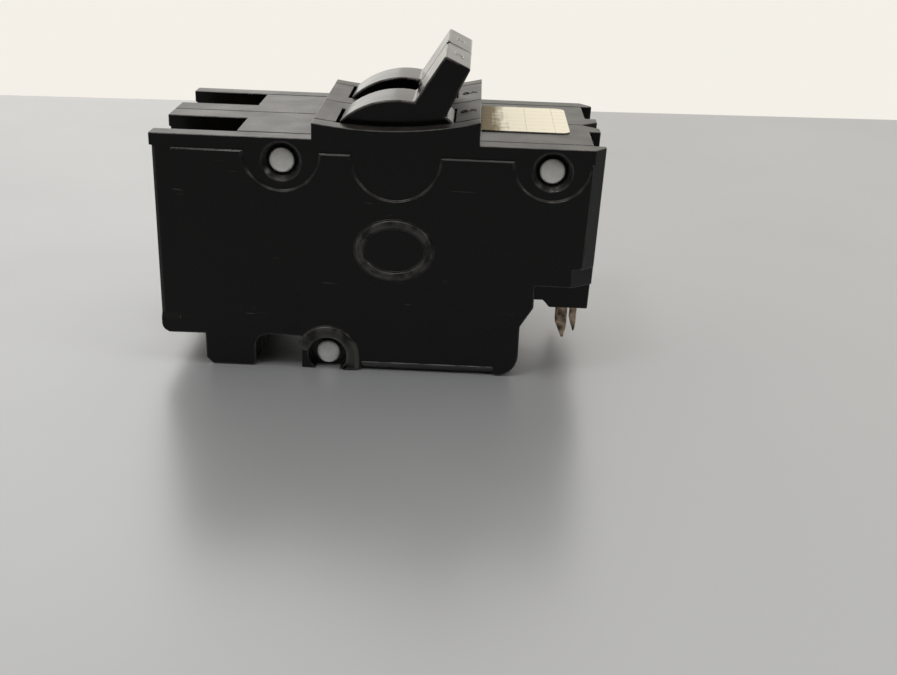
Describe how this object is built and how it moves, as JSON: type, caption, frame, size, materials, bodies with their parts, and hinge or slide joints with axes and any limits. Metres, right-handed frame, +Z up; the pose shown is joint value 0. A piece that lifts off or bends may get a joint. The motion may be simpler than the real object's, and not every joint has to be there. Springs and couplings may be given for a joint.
{
  "type": "two-pole circuit breaker",
  "caption": "Black plug-in circuit breaker with a shared toggle handle, riveted covers, screw terminals, copper stabs and a rail foot.",
  "frame": {"origin": "middle of the underside, on the surface that the feet stand on", "axes": "+X along the case to the stab end, +Y across to the far pole, +Z up to the handle"},
  "size_m": [0.099, 0.0508, 0.0717],
  "materials": {
    "case_black": "moulded phenolic, satin",
    "handle_black": "moulded thermoset, semi-gloss",
    "rivet_steel": "plated",
    "copper": "bare copper",
    "plated_steel": "zinc plated",
    "brass": "turned",
    "contact_silver": "silver alloy",
    "bimetal": "rolled strip",
    "trip_fibre": "moulded",
    "label_paper": "aged paper"
  },
  "bodies": {
    "case": {"base_near": "case_black", "base_far": "case_black", "cover_near": "case_black", "cover_far": "case_black", "rivet_left": "rivet_steel", "rivet_right": "rivet_steel", "rivet_foot": "rivet_steel", "top_label": "label_paper", "load_strap_near": "copper", "load_strap_far": "copper", "terminal_bracket_near": "plated_steel", "terminal_bracket_far": "plated_steel", "bimetal_near": "bimetal", "bimetal_far": "bimetal", "magnet_yoke_near": "plated_steel", "magnet_yoke_far": "plated_steel", "toggle_spring_near": "plated_steel", "toggle_spring_far": "plated_steel", "braid_near": "copper", "braid_far": "copper", "fixed_contact_near": "contact_silver", "fixed_contact_far": "contact_silver", "line_stab_near": "copper", "line_stab_far": "copper", "arc_chute_near": "plated_steel", "arc_chute_far": "plated_steel", "arm_pin_near": "plated_steel", "arm_pin_far": "plated_steel", "cradle_pin_near": "plated_steel", "cradle_pin_far": "plated_steel"},
    "handle": {"handle_near": "handle_black", "handle_far": "handle_black", "handle_tie_pin": "plated_steel"},
    "trip_bar": {"trip_bar": "trip_fibre"},
    "contact_arm_near": {"contact_arm_near": "copper", "moving_contact_near": "contact_silver"},
    "cradle_near": {"cradle_near": "plated_steel"},
    "armature_near": {"armature_near": "plated_steel"},
    "clamp_near": {"pressure_plate_near": "plated_steel"},
    "screw_near": {"terminal_screw_near": "brass"},
    "contact_arm_far": {"contact_arm_far": "copper", "moving_contact_far": "contact_silver"},
    "cradle_far": {"cradle_far": "plated_steel"},
    "armature_far": {"armature_far": "plated_steel"},
    "clamp_far": {"pressure_plate_far": "plated_steel"},
    "screw_far": {"terminal_screw_far": "brass"}
  },
  "joints": [
    {"name": "handle_swing", "type": "hinge", "parent": "case", "child": "handle", "pos_m": [0.004, 0, 0.0435], "axis": [0, 1, 0], "range_deg": [-52, 0], "deforming": ["toggle_spring_near", "toggle_spring_far", "braid_near", "braid_far"]},
    {"name": "trip_bar_swing", "type": "hinge", "parent": "case", "child": "trip_bar", "pos_m": [-0.0215, 0, 0.039], "axis": [0, 1, 0], "range_deg": [0, 10]},
    {"name": "contact_arm_near_swing", "type": "hinge", "parent": "case", "child": "contact_arm_near", "pos_m": [0.004, -0.0127, 0.035], "axis": [0, 1, 0], "range_deg": [-15.7, 0]},
    {"name": "cradle_near_swing", "type": "hinge", "parent": "case", "child": "cradle_near", "pos_m": [0.014, -0.0127, 0.017], "axis": [0, 1, 0], "range_deg": [0, 15.1], "deforming": ["toggle_spring_near"]},
    {"name": "armature_near_swing", "type": "hinge", "parent": "case", "child": "armature_near", "pos_m": [-0.0188, -0.0127, 0.0173], "axis": [0, 1, 0], "range_deg": [-4.6, 0]},
    {"name": "clamp_near_slide", "type": "slide", "parent": "case", "child": "clamp_near", "axis": [0, 0, 1], "range_m": [-0.0035, 0]},
    {"name": "screw_near_turn", "type": "hinge", "parent": "clamp_near", "child": "screw_near", "pos_m": [-0.04, -0.0127, 0.0343], "axis": [0, 0, 1], "range_deg": [-993, 0]},
    {"name": "contact_arm_far_swing", "type": "hinge", "parent": "case", "child": "contact_arm_far", "pos_m": [0.004, 0.0127, 0.035], "axis": [0, 1, 0], "range_deg": [-15.7, 0]},
    {"name": "cradle_far_swing", "type": "hinge", "parent": "case", "child": "cradle_far", "pos_m": [0.014, 0.0127, 0.017], "axis": [0, 1, 0], "range_deg": [0, 15.1], "deforming": ["toggle_spring_far"]},
    {"name": "armature_far_swing", "type": "hinge", "parent": "case", "child": "armature_far", "pos_m": [-0.0188, 0.0127, 0.0173], "axis": [0, 1, 0], "range_deg": [-4.6, 0]},
    {"name": "clamp_far_slide", "type": "slide", "parent": "case", "child": "clamp_far", "axis": [0, 0, 1], "range_m": [-0.0035, 0]},
    {"name": "screw_far_turn", "type": "hinge", "parent": "clamp_far", "child": "screw_far", "pos_m": [-0.04, 0.0127, 0.0343], "axis": [0, 0, 1], "range_deg": [-993, 0]}
  ],
  "couplings": [
    {"joint": "contact_arm_near_swing", "follows": "handle_swing", "ratio": 0.3},
    {"joint": "cradle_near_swing", "follows": "trip_bar_swing", "ratio": 1.5},
    {"joint": "armature_near_swing", "follows": "trip_bar_swing", "ratio": -0.45},
    {"joint": "screw_near_turn", "follows": "clamp_near_slide", "rad_per_m": 4947.4},
    {"joint": "contact_arm_far_swing", "follows": "handle_swing", "ratio": 0.3},
    {"joint": "cradle_far_swing", "follows": "trip_bar_swing", "ratio": 1.5},
    {"joint": "armature_far_swing", "follows": "trip_bar_swing", "ratio": -0.45},
    {"joint": "screw_far_turn", "follows": "clamp_far_slide", "rad_per_m": 4947.4}
  ]
}
